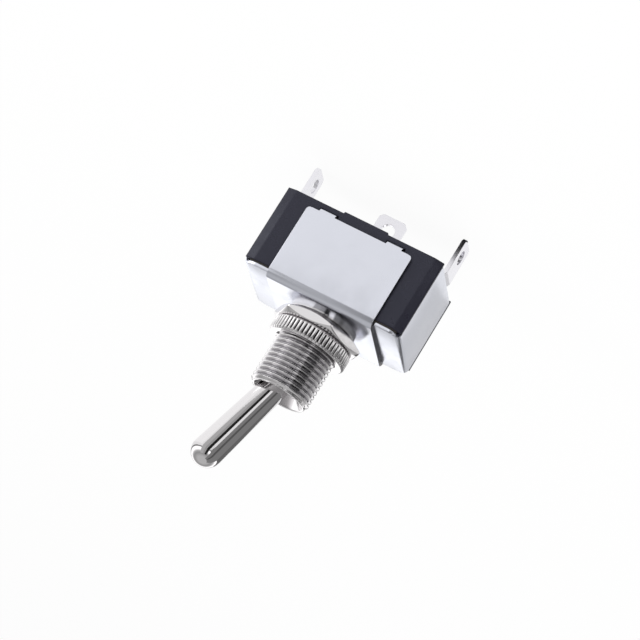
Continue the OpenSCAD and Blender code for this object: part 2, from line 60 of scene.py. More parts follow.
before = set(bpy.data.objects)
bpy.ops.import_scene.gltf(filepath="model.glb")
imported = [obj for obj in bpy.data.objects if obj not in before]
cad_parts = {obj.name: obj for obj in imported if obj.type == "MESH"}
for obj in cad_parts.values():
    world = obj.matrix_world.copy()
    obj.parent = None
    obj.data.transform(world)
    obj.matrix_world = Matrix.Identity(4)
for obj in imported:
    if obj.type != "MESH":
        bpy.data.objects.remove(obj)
CAD_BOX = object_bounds()

MM = 0.001
TAU = 2 * math.pi

# Levels of the stack, read from the solids. The bushing's shoulder stands on the bracket.
BRACKET_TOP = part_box("bracket")[1].z
SHOULDER = BRACKET_TOP
BUSHING_FOOT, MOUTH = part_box("bushing")[0].z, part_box("bushing")[1].z
HEX_LOW, HEX_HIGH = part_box("hex_nut")[0].z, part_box("hex_nut")[1].z
RING_LOW, RING_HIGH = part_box("knurled_nut")[0].z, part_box("knurled_nut")[1].z
STRAP_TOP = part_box("end_strap")[1].z
TERMINAL_ENDS = CAD_BOX[0][2]

# The bushing's shank is this much smaller in radius than the thread's crests, and the holes of the
# folded sheets leave this gap round it
SHANK_STEP = 0.2 * MM
HOLE_GAP = 0.03 * MM

# Angles of the points round a sheet's edge, and on the way over its end. The second row stops
# short of a right angle, so that the end face keeps its small corners.
EDGE_TURN = np.radians([0, 22.5, 45, 67.5, 90])
END_TURN = np.radians([0, 22.5, 45, 67.5, 86])
TURN_POINTS = len(EDGE_TURN)

# Brightness of the room that metal sees, as (sine of the height, level): a dark line at the
# horizon, white walls, and a grey ceiling
ROOM = ((0.0, 0.15), (0.07, 0.2), (0.12, 1.45), (0.34, 1.5), (0.5, 0.55), (0.66, 0.36),
        (0.9, 0.58))


# ---- surfaces ------------------------------------------------------------------------------


def grid_faces(rows, columns, loop):
    """Quads of a grid of points whose columns always close, and whose rows close if loop."""
    count = rows if loop else rows - 1
    i, j = np.meshgrid(np.arange(count), np.arange(columns), indexing="ij")
    k, m = (i + 1) % rows, (j + 1) % columns
    return np.stack([i * columns + j, i * columns + m, k * columns + m, k * columns + j], -1)


def skin(points, loop=False):
    """Closed surface over a grid of points, shape (rows, columns, 3). The columns close, and the
    rows either close too, as on a ring, or each end is closed by a fan to its own middle."""
    rows, columns = points.shape[:2]
    vertices = points.reshape(-1, 3)
    quads = grid_faces(rows, columns, loop).reshape(-1, 4)
    if loop:
        return vertices, quads, np.zeros((0, 3), int)
    first, last = len(vertices), len(vertices) + 1
    vertices = np.vstack([vertices, points[0].mean(0), points[-1].mean(0)])
    j = np.arange(columns)
    k = (j + 1) % columns
    low = np.stack([np.full(columns, first), k, j], -1)
    high = np.stack([np.full(columns, last), (rows - 1) * columns + j,
                     (rows - 1) * columns + k], -1)
    return vertices, quads, np.vstack([low, high])


def volume(vertices, quads, triangles):
    """Signed volume: the sum over all triangles of a . (b x c) / 6. It is negative for a surface
    that faces inwards."""
    t = np.vstack([quads[:, [0, 1, 2]], quads[:, [0, 2, 3]], triangles])
    a, b, c = vertices[t[:, 0]], vertices[t[:, 1]], vertices[t[:, 2]]
    return float(np.einsum("ij,ij->", a, np.cross(b, c))) / 6


def piece(name, skins, body, nodes, material, crease):
    """One object from closed skins: each is turned to face outwards, and edges sharper than
    crease degrees stay sharp. It stands for its CAD nodes and rides on their body."""
    vertices, faces, start = [], [], 0
    for v, quads, triangles in skins:
        if volume(v, quads, triangles) < 0:
            quads, triangles = quads[:, ::-1], triangles[:, ::-1]
        vertices.append(v)
        faces += (quads + start).tolist() + (triangles + start).tolist()
        start += len(v)
    mesh = bpy.data.meshes.new(name)
    mesh.from_pydata(np.vstack(vertices), [], faces)
    mesh.validate()
    mesh.shade_smooth()
    mesh.set_sharp_from_angle(angle=math.radians(crease))
    mesh.materials.append(material)
    thing = bpy.data.objects.new(name, mesh)
    bpy.context.scene.collection.objects.link(thing)
    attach(thing, body)
    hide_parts(*nodes)
    return thing


def sheared(thing, material, along):
    """Gives the faces that look along one axis, as sheared edges do, a material of their own."""
    facing = 0.8
    mesh = thing.data
    mesh.materials.append(material)
    normals = np.zeros(len(mesh.polygons) * 3)
    mesh.polygons.foreach_get("normal", normals)
    index = (np.abs(normals.reshape(-1, 3)[:, along]) > facing).astype(int)
    mesh.polygons.foreach_set("material_index", index)


def revolve(radius, height):
    """Surface of revolution about Z. radius is (rows, columns), and height is (rows,), or (rows,
    columns) where it changes round the axis. A point is (r cos a, r sin a, z), with a evenly
    spread over the columns."""
    columns = radius.shape[1]
    a = np.arange(columns) * TAU / columns
    z = np.repeat(height[:, None], columns, 1) if height.ndim == 1 else height
    return np.stack([radius * np.cos(a), radius * np.sin(a), z], -1)


def rounded_profile(corners, steps):
    """Open outline with round corners. corners is a list of (r, z, fillet): at each one but the
    first and last, the two straight sides are joined by an arc of steps points that leaves them
    fillet from the corner, drawn as the quadratic curve (1-t)^2 A + 2t(1-t) C + t^2 B."""
    p = np.array([c[:2] for c in corners], float)
    out = []
    for i, (_, _, fillet) in enumerate(corners):
        if fillet <= 0 or i in (0, len(corners) - 1):
            out.append([p[i]])
            continue
        before, after = p[i - 1] - p[i], p[i + 1] - p[i]
        a = p[i] + before / np.linalg.norm(before) * fillet
        b = p[i] + after / np.linalg.norm(after) * fillet
        t = np.linspace(0, 1, steps)[:, None]
        out.append((1 - t) ** 2 * a + 2 * t * (1 - t) * p[i] + t ** 2 * b)
    return np.vstack(out)


def refined(profile, longest):
    """Adds points along a profile so that no step is longer than longest."""
    out = [profile[:1]]
    for a, b in zip(profile[:-1], profile[1:]):
        n = max(1, math.ceil(np.linalg.norm(b - a) / longest))
        t = (np.arange(n) + 1)[:, None] / n
        out.append(a + (b - a) * t)
    return np.vstack(out)


# ---- sizes and colours ---------------------------------------------------------------------


def length(name, description, value):
    """A length that the user can change, in metres."""
    return bpy.props.FloatProperty(
        name=name, description=description, default=value, unit="LENGTH", precision=5, min=0.0)


def linear(value):
    """An sRGB hex colour such as "c8ccd2", turned to linear light."""
    channels = [int(value[i:i + 2], 16) / 255 for i in (0, 2, 4)]
    return tuple(c / 12.92 if c <= 0.04045 else ((c + 0.055) / 1.055) ** 2.4 for c in channels)


def colour(name, description, value):
    """A colour that the user can change, from its sRGB hex value."""
    return bpy.props.FloatVectorProperty(
        name=name, description=description, default=linear(value), subtype="COLOR", size=3,
        min=0.0, max=1.0)


class SwitchThread(bpy.types.PropertyGroup):
    major: length("Major radius", "Radius over the thread's crests", 5.95 * MM)
    depth: length("Depth", "Depth of the thread", 0.6 * MM)
    pitch: length("Pitch", "Distance between two crests", 1.0 * MM)
    mouth: length("Mouth radius", "Inner radius of the bushing's mouth", 5.0 * MM)
    lip: length("Lip radius", "Radius of the lip that keeps the ball in", 3.5 * MM)
    shoulder: length("Shoulder", "Radius of the shoulder on the bracket", 6.7 * MM)


class SwitchNuts(bpy.types.PropertyGroup):
    flats: length("Across flats", "Width of the hexagonal nut across its flats", 16.0 * MM)
    bore: length("Bore", "Radius of the nuts' bores", 6.0 * MM)
    knurl_depth: length("Knurl depth", "Depth of the ring nut's knurl", 0.34 * MM)
    knurls: bpy.props.IntProperty(
        name="Knurls", description="Number of grooves round the ring nut", default=60, min=24)


class SwitchLever(bpy.types.PropertyGroup):
    throw: bpy.props.FloatProperty(
        name="Throw", description="Lean of the lever at rest, in degrees", default=15.1, min=0.0,
        max=30.0)
    reach: length("Reach", "Distance from the pivot to the centre of the tip", 21.89 * MM)
    tip: length("Tip radius", "Radius of the lever's tip", 3.075 * MM)
    waist: length("Waist radius", "Radius of the lever in the bushing's mouth", 2.65 * MM)
    ball: length("Ball radius", "Radius of the pivot ball", 4.2 * MM)


class SwitchSheet(bpy.types.PropertyGroup):
    bracket_thickness: length("Bracket", "Sheet thickness of the bracket", 0.8 * MM)
    bracket_height: length("Flange", "Height of the bracket's flanges", 15.4 * MM)
    bracket_bend: length("Bracket bend", "Outer radius of the bracket's bends", 1.6 * MM)
    strap_thickness: length("Strap", "Sheet thickness of the end strap", 0.7 * MM)
    strap_bend: length("Strap bend", "Outer radius of the strap's bends", 1.0 * MM)
    strap_round: length("Strap corners", "Radius of the strap's corners from above", 4.0 * MM)
    plate_inset: length("Plate inset", "Distance of the end plates inside the strap's edges",
                        1.0 * MM)
    edge: length("Edge", "Rounding of the sheets' sheared edges", 0.1 * MM)


class SwitchColours(bpy.types.PropertyGroup):
    nickel: colour("Nickel", "Plating of the turned pieces", "dedcdd")
    zinc: colour("Zinc", "Plating of the folded sheets", "dadce5")
    case: colour("Case", "Moulded base", "201f2a")
    tin: colour("Tin", "Plating of the terminals", "ebeaef")


# ---- materials -----------------------------------------------------------------------------


def add(tree, kind, settings=None, links=None):
    """Adds a node. settings are its attributes and its sockets' values; links are its inputs'
    sources, each an output socket."""
    made = tree.nodes.new(kind)
    for key, value in (settings or {}).items():
        if isinstance(key, int) or key in made.inputs:
            made.inputs[key].default_value = value
        else:
            setattr(made, key, value)
    for key, source in (links or {}).items():
        tree.links.new(source, made.inputs[key])
    return made


def surface(name, colour_value, metallic, roughness):
    """A material with its shader set to plain values: its tree, shader and Object coordinates."""
    material = bpy.data.materials.new(name)
    material.use_nodes = True
    tree = material.node_tree
    shader = tree.nodes["Principled BSDF"]
    shader.inputs["Base Color"].default_value = (*colour_value, 1)
    shader.inputs["Metallic"].default_value = metallic
    shader.inputs["Roughness"].default_value = roughness
    return tree, shader, add(tree, "ShaderNodeTexCoord").outputs["Object"]


def varied(tree, shader, where, per_mm, low, high):
    """Noise with per_mm features to the millimetre moves the roughness between low and high. Its
    values lie between about 0.3 and 0.7."""
    noise = add(tree, "ShaderNodeTexNoise", {"Scale": per_mm / MM, "Detail": 3.0},
                {"Vector": where})
    spread = add(tree, "ShaderNodeMapRange", {"From Min": 0.3, "From Max": 0.7, "To Min": low,
                                              "To Max": high}, {"Value": noise.outputs["Fac"]})
    tree.links.new(spread.outputs["Result"], shader.inputs["Roughness"])


def relief(tree, shader, height, depth, strength, rounding=0.0):
    """Bump of the given depth, over edges rounded by a radius if there is one."""
    bump = add(tree, "ShaderNodeBump", {"Strength": strength, "Distance": depth},
               {"Height": height})
    if rounding:
        edge = add(tree, "ShaderNodeBevel", {"samples": 6, "Radius": rounding})
        tree.links.new(edge.outputs["Normal"], bump.inputs["Normal"])
    tree.links.new(bump.outputs["Normal"], shader.inputs["Normal"])


def nickel_plate(name, value, roughness, rings_per_mm):
    """Bright nickel over turned brass: mirror-like, a little warm, with the lathe's fine rings
    still under the plating, one after another along the axis. They are drawn coarser than real
    ones, so that they show, and the gloss drifts over patches of about a millimetre."""
    tree, shader, where = surface(name, value, 1.0, roughness)
    varied(tree, shader, where, 0.9, roughness * 0.8, roughness * 1.3)
    axis = add(tree, "ShaderNodeSeparateXYZ", links={"Vector": where})
    rings = add(tree, "ShaderNodeTexNoise", {
        "noise_dimensions": "1D", "Scale": rings_per_mm / MM, "Detail": 2.0},
        {"W": axis.outputs["Z"]})
    relief(tree, shader, rings.outputs["Fac"], 0.004 * MM, 0.5)


def painted_groove_shade(name, colour_value, shade_value, root, crest, low, high):
    """Painted shade in the grooves between the heights low and high: the colour changes from the
    plating's just under the crest's radius to the shade colour a quarter of the depth above the
    root's. Surfaces inside the root's radius, such as a bore, have none."""
    unshaded, shaded, slack = crest - 0.02 * (crest - root), root + 0.25 * (crest - root), 0.05 * MM
    tree = bpy.data.materials[name].node_tree
    where = add(tree, "ShaderNodeTexCoord").outputs["Object"]
    across = add(tree, "ShaderNodeVectorMath", {"operation": "MULTIPLY", 1: (1.0, 1.0, 0.0)},
                 {0: where})
    radius = add(tree, "ShaderNodeVectorMath", {"operation": "LENGTH"},
                 {0: across.outputs["Vector"]}).outputs["Value"]
    depth = add(tree, "ShaderNodeMapRange", {
        "From Min": shaded, "From Max": unshaded, "To Min": 1.0, "To Max": 0.0}, {"Value": radius})
    outside = add(tree, "ShaderNodeMath", {"operation": "GREATER_THAN", 1: root - slack},
                  {0: radius})
    height = add(tree, "ShaderNodeSeparateXYZ", links={"Vector": where}).outputs["Z"]
    level = add(tree, "ShaderNodeMath", {
        "operation": "COMPARE", 1: (low + high) / 2, 2: (high - low) / 2}, {0: height})
    both = add(tree, "ShaderNodeMath", {"operation": "MULTIPLY"},
               {0: outside.outputs[0], 1: level.outputs[0]})
    share = add(tree, "ShaderNodeMath", {"operation": "MULTIPLY"},
                {0: both.outputs[0], 1: depth.outputs["Result"]})
    # painted shade: a ramp from the plating's colour to a darker colour deep in the grooves
    groove_shade = add(tree, "ShaderNodeValToRGB", links={"Fac": share.outputs[0]})
    groove_shade.color_ramp.elements[0].color = (*colour_value, 1)
    groove_shade.color_ramp.elements[1].color = (*linear(shade_value), 1)
    tree.links.new(groove_shade.outputs["Color"], tree.nodes["Principled BSDF"].inputs["Base Color"])


def zinc_sheet(name, value):
    """Bright zinc on cold-rolled steel: satin, bluish, with cloudy patches of about 4 mm in the
    plating and faint rolling lines about 8 mm long. The lines are drawn a third of a millimetre
    apart, coarser than real ones, so that they show. The sheet softens what it mirrors."""
    tree, shader, where = surface(name, value, 1.0, 0.22)
    varied(tree, shader, where, 0.26, 0.17, 0.27)
    lines_per_mm, lengths_per_mm = 3.0, 0.12
    stretched = add(tree, "ShaderNodeMapping", {
        "Scale": (lines_per_mm / MM, lines_per_mm / MM, lengths_per_mm / MM)}, {"Vector": where})
    lines = add(tree, "ShaderNodeTexNoise", {"Scale": 1.0, "Detail": 3.0},
                {"Vector": stretched.outputs["Vector"]})
    relief(tree, shader, lines.outputs["Fac"], 0.0012 * MM, 0.4)


def moulded_black(name, value):
    """Phenolic moulding: black with a blue sheen, satin from the tool, with a grain of a fifth of
    a millimetre and edges that the tumbler has rounded, which catch the light."""
    tree, shader, where = surface(name, value, 0.0, 0.3)
    shader.inputs["Specular Tint"].default_value = (*linear("d8dcea"), 1)
    varied(tree, shader, where, 0.7, 0.24, 0.36)
    grain = add(tree, "ShaderNodeTexNoise", {"Scale": 5.2 / MM, "Detail": 2.0}, {"Vector": where})
    relief(tree, shader, grain.outputs["Fac"], 0.003 * MM, 0.3, 0.45 * MM)


def plain_finish(name, value, metallic, roughness, grain, depth, rounding):
    """Small stamped, drawn or moulded pieces: one colour, grain features to the millimetre that
    are depth millimetres deep, a gloss that varies four times as slowly, and edges rounded by
    rounding millimetres. The grain of metals is drawn coarser than it is, so that it shows."""
    tree, shader, where = surface(name, value, metallic, roughness)
    varied(tree, shader, where, grain / 4, roughness * 0.8, roughness * 1.25)
    noise = add(tree, "ShaderNodeTexNoise", {"Scale": grain / MM, "Detail": 2.0},
                {"Vector": where})
    relief(tree, shader, noise.outputs["Fac"], depth * MM, 0.5, rounding * MM)


# ---- operators: the pieces -----------------------------------------------------------------


class SWITCH_OT_bushing(bpy.types.Operator):
    """Threaded bushing: a surface of revolution whose outer radius follows a helical thread"""

    bl_idname = "switch.bushing"
    bl_label = "Bushing"

    def execute(self, context):
        s = context.scene.switch_thread
        columns = 144
        shank, chamfer, collar = s.major - SHANK_STEP, 0.62 * MM, 0.8 * MM
        a = np.arange(columns) * TAU / columns
        outer = self.outside(s, a, SHOULDER + collar, chamfer)
        profile = self.inside(s, context.scene.switch_lever.ball, shank, collar, chamfer)
        r = np.repeat(profile[:, :1], columns, 1)
        # two slots in the bore for the pivot pin, 1.05 mm to each side of the Y axis
        slot, slot_top, slot_half_angle = 4.85 * MM, 0.5 * MM, math.radians(12.6)
        in_slot = (np.abs(np.cos(a)) < math.sin(slot_half_angle))[None, :]
        in_bore = (profile[:, 1] < slot_top) & (profile[:, 0] < shank - 0.4 * MM)
        inner = revolve(np.where(in_slot & in_bore[:, None], slot, r), profile[:, 1])
        piece("threaded_bushing", [skin(np.concatenate([outer, inner]), loop=True)], "case",
              ["bushing"], bpy.data.materials["nickel_turned"], 50.0)
        return {"FINISHED"}

    def outside(self, s, a, low, chamfer):
        """The thread at the angles a, from the height low to the mouth, with 14 rows to a pitch.
        Its height is a triangle wave of z / pitch - a / TAU, flattened over the share flat of
        half a pitch at crest and root, and partly eased there. It grows from its root over the
        run-out, and nowhere passes the chamfered rim."""
        flat, eased, runout = 0.14, 0.3, 0.7 * MM
        z = np.arange(low + 0.05 * MM, MOUTH - 0.02 * MM, s.pitch / 14)
        phase = (z[:, None] / s.pitch - a[None, :] / TAU) % 1.0
        wave = np.clip((1 - np.abs(2 * phase - 1) - flat) / (1 - 2 * flat), 0, 1)
        wave = wave * (1 - eased) + eased * wave * wave * (3 - 2 * wave)
        root = s.major - s.depth
        thread = s.major - s.depth * (1 - wave)
        thread = root + (thread - root) * np.clip((z - low) / runout, 0, 1)[:, None]
        rim = np.minimum(s.major, s.major - chamfer + np.maximum(0, MOUTH - z))
        return revolve(np.minimum(thread, rim[:, None]), z)

    def inside(self, s, ball, shank, collar, chamfer):
        """Profile from the rim down the dished mouth, the ball's seat, which is an arc round the
        pivot, and the bore, then round the swaged foot and up to the collar."""
        gap, bore_end = 0.05 * MM, -8.4 * MM
        seat = ball + gap
        lip_z = math.sqrt(seat ** 2 - s.lip ** 2)
        mouth = rounded_profile([
            (s.major - chamfer, MOUTH, 0), (s.mouth, MOUTH, 0.12 * MM), (s.lip, lip_z, 0)], 5)
        turn = np.linspace(math.asin(lip_z / seat), 0, 8)[1:]
        ball_seat = np.stack([seat * np.cos(turn), seat * np.sin(turn)], -1)
        foot, swage, swage_height = shank - 0.5 * MM, shank + 0.85 * MM, 0.8 * MM
        bore = np.array([(seat, -4.0 * MM), (seat, bore_end), (foot, BUSHING_FOOT)])
        outer = rounded_profile([
            (foot, BUSHING_FOOT, 0), (swage, BUSHING_FOOT, 0.3 * MM),
            (swage, BUSHING_FOOT + swage_height, 0.1 * MM),
            (shank, BUSHING_FOOT + swage_height, 0), (shank, SHOULDER, 0),
            (s.shoulder, SHOULDER, 0), (s.shoulder, SHOULDER + collar, 0.15 * MM),
            (s.major - s.depth, SHOULDER + collar, 0)], 5)[1:]
        return np.vstack([refined(mouth, 0.35 * MM), ball_seat, bore, outer])


class SWITCH_OT_nuts(bpy.types.Operator):
    """Hexagonal nut and knurled ring nut, each a ring whose radius is a function of the angle"""

    bl_idname = "switch.nuts"
    bl_label = "Nuts"

    def execute(self, context):
        s = context.scene.switch_nuts
        self.hexagon(s)
        self.ring(s)
        return {"FINISHED"}

    def hexagon(self, s):
        """At angle a from a flat's middle the side is at radius flats / 2 / cos(a), and a soft
        minimum keeps it from a sharp corner. The chamfer cone meets it at height
        (radius - face) tan 30 from each face. The nut stands turned 3 degrees."""
        columns = 240
        turned, blunt, soft, lead = math.radians(3.0), 0.12 * MM, 0.05 * MM, 0.35 * MM
        a = np.arange(columns) * TAU / columns
        off = (a - turned) % (TAU / 6) - TAU / 12
        side = s.flats / 2 / np.cos(off)
        corner = s.flats / 2 / math.cos(TAU / 12) - blunt
        side = corner - np.logaddexp(0, (corner - side) / soft) * soft
        face = s.flats / 2 - 0.1 * MM
        drop = np.maximum(0, side - face) * math.tan(math.radians(30)) + 0.04 * MM
        # (radius, height above the lower face) up to the middle, and the same down from the top
        half = [(s.bore, lead), (s.bore + lead, 0), (face - 0.25 * MM, 0), (face, 0.03 * MM),
                (side - soft, drop - 0.02 * MM), (side, drop + soft)]
        radius = np.array([r + np.zeros(columns) for r, _ in half])
        rise = np.array([h + np.zeros(columns) for _, h in half])
        middle = np.full((1, columns), (HEX_LOW + HEX_HIGH) / 2)
        radius = np.vstack([radius, side[None, :], radius[::-1]])
        height = np.vstack([HEX_LOW + rise, middle, HEX_HIGH - rise[::-1]])
        piece("hexagonal_nut", [skin(revolve(radius, height), loop=True)], "hex_nut",
              ["hex_nut"], bpy.data.materials["nickel_milled"], 30.0)

    def ring(self, s):
        """The knurl's depth at angle a is depth * w ** 1.2. Here w rises from 0 at the edge of a
        flat crest to 1 in the groove, with the distance from the crest's middle as a share of
        half a step."""
        per_knurl, crest, flank = 8, 0.42, 0.5
        columns = s.knurls * per_knurl
        share = np.abs(((np.arange(columns) / per_knurl) % 1.0) - 0.5) * 2
        groove = np.clip((share - crest) / flank, 0, 1) ** 1.2
        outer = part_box("knurled_nut")[1].x
        bevel, lead = 0.42 * MM, 0.3 * MM
        profile = rounded_profile([
            (s.bore, RING_LOW + lead, 0), (s.bore + lead, RING_LOW, 0.03 * MM),
            (outer - bevel, RING_LOW, 0.1 * MM), (outer, RING_LOW + bevel, 0.12 * MM),
            (outer, RING_HIGH - bevel, 0.12 * MM), (outer - bevel, RING_HIGH, 0.1 * MM),
            (s.bore + lead, RING_HIGH, 0.03 * MM), (s.bore, RING_HIGH - lead, 0)], 4)
        deepest = outer - s.knurl_depth * groove
        radius = np.minimum(profile[:, :1], deepest[None, :])
        piece("knurled_ring", [skin(revolve(radius, profile[:, 1]), loop=True)], "knurled_nut",
              ["knurled_nut"], bpy.data.materials["nickel_knurled"], 40.0)


class SWITCH_OT_lever(bpy.types.Operator):
    """Bat lever with its ball, tail and plunger barrel: one profile turned about its own axis"""

    bl_idname = "switch.lever"
    bl_label = "Lever"

    def execute(self, context):
        """Tip and ball are arcs (R cos t, c + R sin t). The tip's arc ends at the taper's slope,
        so that the straight taper leaves it smoothly, and the ball's ends at neck and tail. The
        whole is turned about Z and then leans by the throw about Y."""
        s = context.scene.switch_lever
        slope = math.atan2(s.tip - s.waist, s.reach - MOUTH)
        turn = np.linspace(math.radians(89.9), -slope, 20)
        tip = np.stack([s.tip * np.cos(turn), s.reach + s.tip * np.sin(turn)], -1)
        t = np.linspace(0.9, 0, 10)
        taper = np.stack([s.waist + (s.tip - s.waist) * t, MOUTH + (s.reach - MOUTH) * t], -1)
        neck, rod = s.waist - 0.15 * MM, 1.4 * MM
        meet = math.sqrt(s.ball ** 2 - neck ** 2)
        turn = np.linspace(math.asin(meet / s.ball), -math.acos(rod / s.ball), 24)
        ball = np.stack([s.ball * np.cos(turn), s.ball * np.sin(turn)], -1)
        profile = np.vstack([tip, taper, ball, self.tail(rod)])
        columns = 96
        points = revolve(np.repeat(profile[:, :1], columns, 1), profile[:, 1])
        lean = math.radians(s.throw)
        turned = np.array([[math.cos(lean), 0, -math.sin(lean)], [0, 1, 0],
                           [math.sin(lean), 0, math.cos(lean)]])
        piece("bat_lever", [skin(points @ turned)], "lever", ["lever"],
              bpy.data.materials["nickel_polished"], 40.0)
        return {"FINISHED"}

    def tail(self, rod):
        """Outline from the ball down the rod, over the barrel that holds the plunger, and up its
        bore to a hair's breadth from the axis at the bore's blind end."""
        start, end, axis = -4.2 * MM, -19.67 * MM, 0.002 * MM
        barrel, bore, step = 2.3 * MM, 1.65 * MM, 0.4 * MM
        top = end + 5.2 * MM
        blind = top - 0.8 * MM
        return rounded_profile([
            (rod, start, 0), (rod, top, 0.2 * MM), (barrel - step, top, 0.1 * MM),
            (barrel, top - step, 0.1 * MM), (barrel, end, 0.15 * MM), (bore, end, 0.1 * MM),
            (bore, blind, 0), (axis, blind, 0)], 4)


def folded_strip(path, half, thickness, edge):
    """Sheet strip with round edges along a flat path. path is (n, 2): the middle line of the
    sheet, in a plane. half is (n,): half the strip's width at each point. Each section is a
    rectangle 2 half wide and thickness thick with corners of radius edge. At each end the
    sections follow a circle: at angle c the section lies edge (1 - sin c) in from the end and is
    edge (1 - cos c) smaller all round. The result is (rows, columns, 3) as (along the plane's
    first axis, across, along its second axis)."""
    step = np.gradient(path, axis=0)
    step /= np.linalg.norm(step, axis=1)[:, None]
    quarter = np.stack([np.cos(EDGE_TURN), np.sin(EDGE_TURN)], -1)
    ring = np.vstack([quarter, quarter[::-1] * (-1, 1), -quarter, quarter[::-1] * (1, -1)])
    side = np.repeat([(1, 1), (-1, 1), (-1, -1), (1, -1)], TURN_POINTS, axis=0)
    inner = np.arange(1, len(path) - 1)
    index = np.concatenate([np.zeros(TURN_POINTS, int), inner,
                            np.full(TURN_POINTS, len(path) - 1)])
    back, inset = edge * (1 - np.sin(END_TURN)), edge * (1 - np.cos(END_TURN))
    back = np.concatenate([back[::-1], np.zeros(len(inner)), -back])
    inset = np.concatenate([inset[::-1], np.zeros(len(inner)), inset])
    normal = np.stack([-step[:, 1], step[:, 0]], -1)[index]
    centre = path[index] + step[index] * back[:, None]
    rim = (edge - inset)[:, None]
    w = side[:, 0] * (half[index, None] - edge) + ring[:, 0] * rim
    t = side[:, 1] * (thickness / 2 - edge) + ring[:, 1] * rim
    flat = centre[:, None] + normal[:, None] * t[..., None]
    return np.stack([flat[..., 0], w, flat[..., 1]], -1)


def pierced(strip, radius):
    """Closed skin of a folded strip with a round hole about the Z axis through its middle stretch.
    The stretch's upper and lower faces, one quad each, give way to triangles: each step of the
    circle goes to the nearest corner in angle, and each change of corner adds one more. The
    hole's wall joins the two circles."""
    steps = 96
    vertices, quads, triangles = skin(strip)
    rows, columns = strip.shape[:2]
    middle = (rows // 2 - 1) * columns
    flats = (middle + TURN_POINTS - 1, middle + 3 * TURN_POINTS - 1)
    a = np.arange(steps) * TAU / steps
    circle, rims = np.stack([radius * np.cos(a), radius * np.sin(a)], -1), {}
    for flat in flats:
        corners = quads[flat]
        x, y, z = vertices[corners].T
        sense = 1 if x @ np.roll(y, -1) > y @ np.roll(x, -1) else -1
        rim = len(vertices) + np.arange(steps)
        vertices = np.vstack([vertices, np.column_stack([circle, np.full(steps, z[0])])])
        walk = rim[(sense * np.arange(steps + 1)) % steps]
        middles = sense * (np.arange(steps) + 0.5) * TAU / steps
        apart = np.cos(middles[:, None] - np.arctan2(y, x)[None, :])
        near = corners[np.argmax(apart, 1)]
        before = np.roll(near, 1)
        change = before != near
        triangles = np.vstack([
            triangles, np.stack([near, walk[1:], walk[:-1]], -1),
            np.stack([before[change], near[change], walk[:-1][change]], -1)])
        rims[sense] = rim
    top, low = rims[1], rims[-1]
    wall = np.stack([top, np.roll(top, -1), np.roll(low, -1), low], -1)
    return vertices, np.vstack([np.delete(quads, flats, axis=0), wall]), triangles


def u_path(width, height, radius, top, thickness, across=()):
    """Middle line of a sheet folded to a U that opens downwards: up one leg, round a bend, across
    the top, round the other bend and down, with fine steps near each free end. across gives
    extra distances from the middle at which the top has points."""
    half, r = (width - thickness) / 2, radius - thickness / 2
    ceiling, low = top - thickness / 2, top - height
    steps, fine = 13, 1.2 * MM
    leg = np.concatenate([low + np.linspace(0, fine, steps), [low + height / 2]])
    turn = np.linspace(math.pi, math.pi / 2, steps)
    up = np.stack([np.full(len(leg), -half), leg], -1)
    bend = np.stack([-half + r + r * np.cos(turn), ceiling - r + r * np.sin(turn)], -1)
    level = np.array([(-x, ceiling) for x in across]).reshape(-1, 2)
    left = np.vstack([up, bend, level])
    return np.vstack([left, left[::-1] * (-1, 1)])


